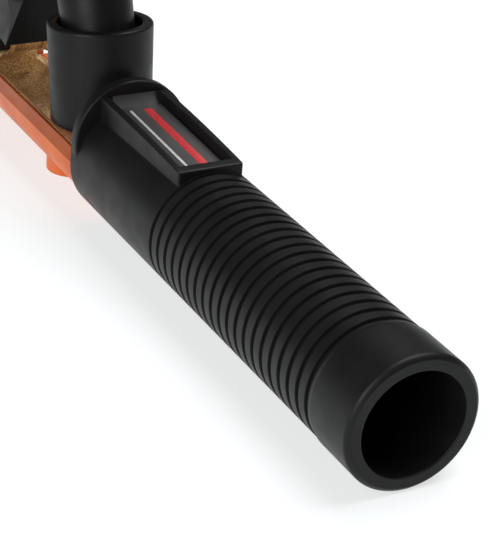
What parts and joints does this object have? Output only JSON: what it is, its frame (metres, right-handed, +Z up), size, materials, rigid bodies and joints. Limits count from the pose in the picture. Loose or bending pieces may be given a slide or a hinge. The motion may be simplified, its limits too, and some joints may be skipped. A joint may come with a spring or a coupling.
{
  "type": "electrode holder",
  "caption": "Hand-held welding electrode holder: ribbed black tubular handle, brass arms in orange and black insulation, and a sprung lever that opens the jaws.",
  "frame": {"origin": "centre of the handle's rear mouth, where the welding cable goes in", "axes": "+X along the handle towards the jaws, +Z up towards the lever, +Y to the left seen from the handle"},
  "size_m": [0.293, 0.0356, 0.1046],
  "materials": {
    "black_plastic": "moulded glass-filled nylon, satin",
    "orange_plastic": "moulded glass-filled plastic, satin",
    "brown_laminate": "fibre laminate strip, rough",
    "cast_brass": "cast and blasted, edges worn bright",
    "bronze_bush": "sintered, oiled",
    "copper": "pressed sheet",
    "zinc_steel": "zinc plated",
    "label_plastic": "smooth moulded plate, no marking"
  },
  "bodies": {
    "holder_body": {"handle": "black_plastic", "label_plate": "label_plastic", "lower_arm": "cast_brass", "arm_shell": "orange_plastic", "side_strip_left": "brown_laminate", "side_strip_right": "brown_laminate", "shell_screw": "zinc_steel", "handle_lock_screw": "zinc_steel", "spring_cup": "black_plastic", "cup_screw": "zinc_steel", "spring_washer": "zinc_steel", "spring": "zinc_steel", "hinge_pin": "zinc_steel", "retaining_ring_left": "zinc_steel", "retaining_ring_right": "zinc_steel", "lower_jaw_insulator": "orange_plastic", "lower_jaw_screw_1": "zinc_steel", "lower_jaw_screw_2": "zinc_steel"},
    "lever_arm": {"upper_arm": "cast_brass", "lever_cover": "black_plastic", "cover_screw_1": "zinc_steel", "cover_screw_2": "zinc_steel", "spring_cap": "black_plastic", "cap_screw": "zinc_steel", "hinge_bush_left": "bronze_bush", "hinge_bush_right": "bronze_bush", "upper_jaw_insulator": "orange_plastic", "upper_jaw_screw_1": "zinc_steel", "upper_jaw_screw_2": "zinc_steel"},
    "front_clamp_screw": {"clamp_screw_2": "zinc_steel"},
    "rear_clamp_screw": {"clamp_screw_1": "zinc_steel"},
    "clamp_shoe": {"cable_clamp_shoe": "copper"}
  },
  "joints": [
    {"name": "lever_hinge", "type": "hinge", "parent": "holder_body", "child": "lever_arm", "pos_m": [0.24, 0, 0.0109], "axis": [0, -1, 0], "range_deg": [0, 14], "stiffness_Nm_per_rad": 6, "springref_deg": -22.92, "deforming": ["spring"]},
    {"name": "shoe_press", "type": "slide", "parent": "holder_body", "child": "clamp_shoe", "axis": [0, 0, -1], "range_m": [0, 0.003]},
    {"name": "rear_clamp_screw_drive", "type": "slide", "parent": "holder_body", "child": "rear_clamp_screw", "axis": [0, 0, -1], "range_m": [0, 0.003]},
    {"name": "front_clamp_screw_drive", "type": "slide", "parent": "holder_body", "child": "front_clamp_screw", "axis": [0, 0, -1], "range_m": [0, 0.003]}
  ],
  "couplings": [
    {"joint": "rear_clamp_screw_drive", "follows": "shoe_press", "ratio": 1},
    {"joint": "front_clamp_screw_drive", "follows": "shoe_press", "ratio": 1}
  ]
}
